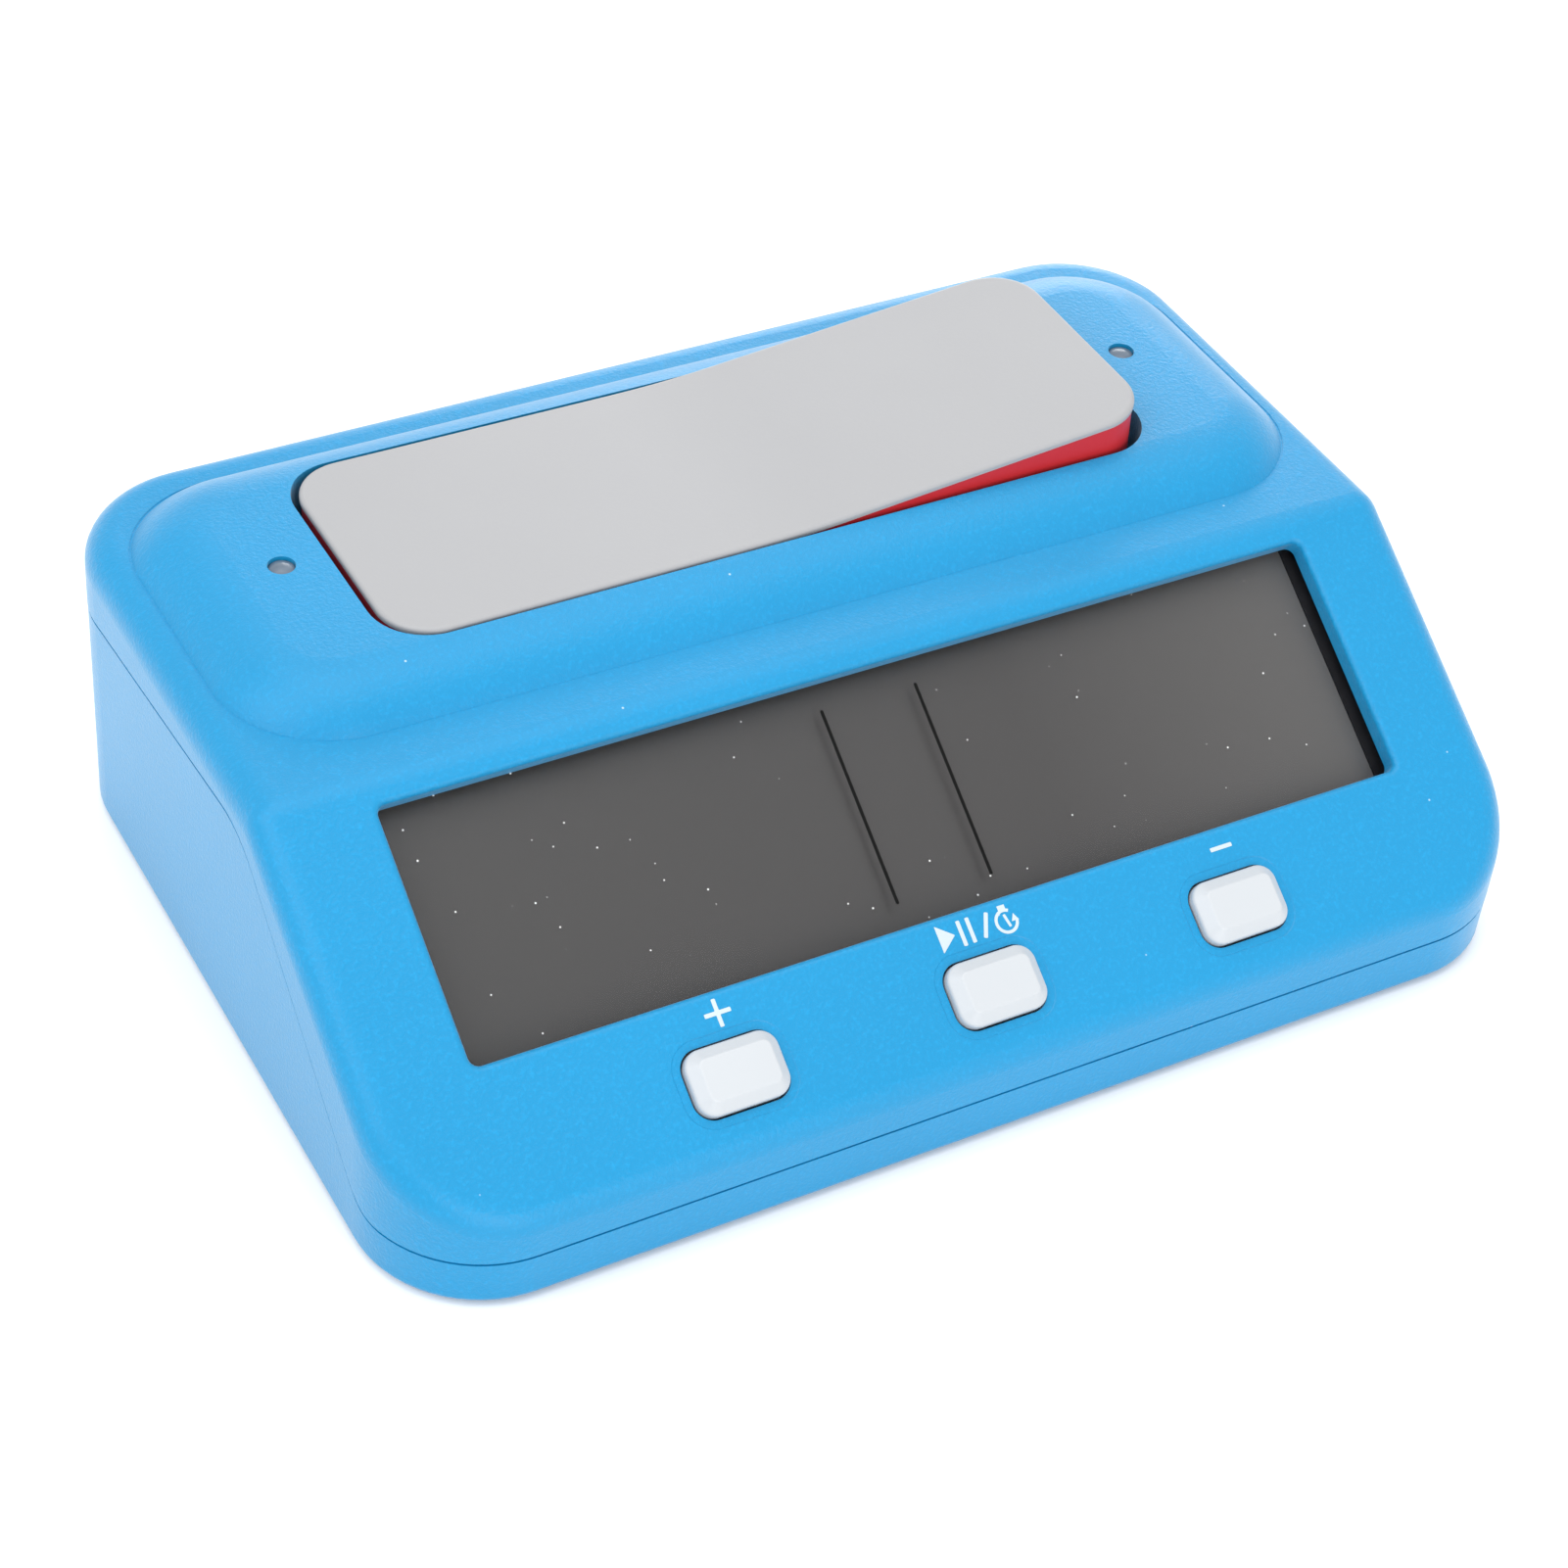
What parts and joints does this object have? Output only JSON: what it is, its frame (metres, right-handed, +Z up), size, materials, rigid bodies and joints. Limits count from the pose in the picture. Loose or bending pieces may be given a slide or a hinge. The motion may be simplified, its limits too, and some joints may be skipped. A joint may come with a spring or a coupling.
{
  "type": "chess clock",
  "caption": "Wedge-shaped digital chess clock with a see-saw player rocker, sloping LCD, push keys, side lights and a battery bay.",
  "frame": {"origin": "centre of the footprint on the plane the rubber feet stand on", "axes": "+X to the players' right side of the display, +Y to the back, +Z up; the display slopes towards -Y"},
  "size_m": [0.15, 0.106, 0.0493],
  "materials": {
    "case_blue": "fine moulded texture",
    "cap_grey": "smooth satin",
    "skirt_red": "smooth",
    "key_white": "smooth satin",
    "lens": "polished, lightly smoked",
    "lcd_glass": "polished",
    "black_plastic": "moulded",
    "white_plastic": "moulded",
    "circuit_board": "solder mask",
    "black_epoxy": "cast",
    "black_sleeve": "shrink sleeve",
    "steel": "nickel plated",
    "rubber": "moulded",
    "cell": "printed wrapper",
    "clear_lamp": "clear epoxy lamp",
    "wire_red": "insulation",
    "wire_black": "insulation"
  },
  "bodies": {
    "case": {"upper_housing": "case_blue", "lower_housing": "case_blue", "rocker_axle": "steel", "side_switch_body": "black_plastic", "side_switch_board": "circuit_board", "display_lens": "lens", "lcd_panel": "lcd_glass", "lcd_frame": "black_plastic", "contact_strip_lower": "rubber", "contact_strip_upper": "rubber", "main_board": "circuit_board", "controller_blob": "black_epoxy", "crystal": "steel", "capacitor": "black_sleeve", "buzzer": "black_plastic", "chip_resistors": "black_epoxy", "key_switch_plus": "steel", "key_switch_play": "steel", "key_switch_minus": "steel", "battery_front": "cell", "battery_rear": "cell", "battery_springs": "steel", "contact_bridge": "steel", "contact_positive": "steel", "contact_negative": "steel", "power_switch_body": "steel", "housing_screws": "steel", "board_screws": "steel", "rubber_feet": "rubber", "light_left": "clear_lamp", "light_right": "clear_lamp", "light_board_left": "circuit_board", "light_board_right": "circuit_board", "wire_positive": "wire_red", "wire_negative": "wire_black", "switch_wires": "wire_black", "light_wires": "wire_black"},
    "rocker": {"rocker_cap": "cap_grey", "rocker_skirt": "skirt_red"},
    "side_slider": {"side_switch_slider": "white_plastic"},
    "plus_key": {"key_plus": "key_white", "plunger_plus": "black_plastic"},
    "play_key": {"key_play": "key_white", "plunger_play": "black_plastic"},
    "minus_key": {"key_minus": "key_white", "plunger_minus": "black_plastic"},
    "power_knob": {"power_slider": "black_plastic"},
    "door": {"battery_door": "case_blue"}
  },
  "joints": [
    {"name": "rocker_tilt", "type": "hinge", "parent": "case", "child": "rocker", "pos_m": [0, 0.0228, 0.0386], "axis": [0, 1, 0], "range_deg": [0, 5.5]},
    {"name": "side_switch_slide", "type": "slide", "parent": "case", "child": "side_slider", "axis": [-1, 0, 0], "range_m": [0, 0.0011]},
    {"name": "plus_press", "type": "slide", "parent": "case", "child": "plus_key", "axis": [0, 0.5373, -0.8434], "range_m": [0, 0.0008], "stiffness_N_per_m": 800, "springref_m": -0.0004},
    {"name": "play_press", "type": "slide", "parent": "case", "child": "play_key", "axis": [0, 0.5373, -0.8434], "range_m": [0, 0.0008], "stiffness_N_per_m": 800, "springref_m": -0.0004},
    {"name": "minus_press", "type": "slide", "parent": "case", "child": "minus_key", "axis": [0, 0.5373, -0.8434], "range_m": [0, 0.0008], "stiffness_N_per_m": 800, "springref_m": -0.0004},
    {"name": "power_slide", "type": "slide", "parent": "case", "child": "power_knob", "axis": [1, 0, 0], "range_m": [0, 0.003]},
    {"name": "battery_door_hinge", "type": "hinge", "parent": "case", "child": "door", "pos_m": [0, 0.0432, 0.0022], "axis": [1, 0, 0], "range_deg": [0, 75]}
  ],
  "couplings": [
    {"joint": "side_switch_slide", "follows": "rocker_tilt", "m_per_rad": 0.011}
  ]
}
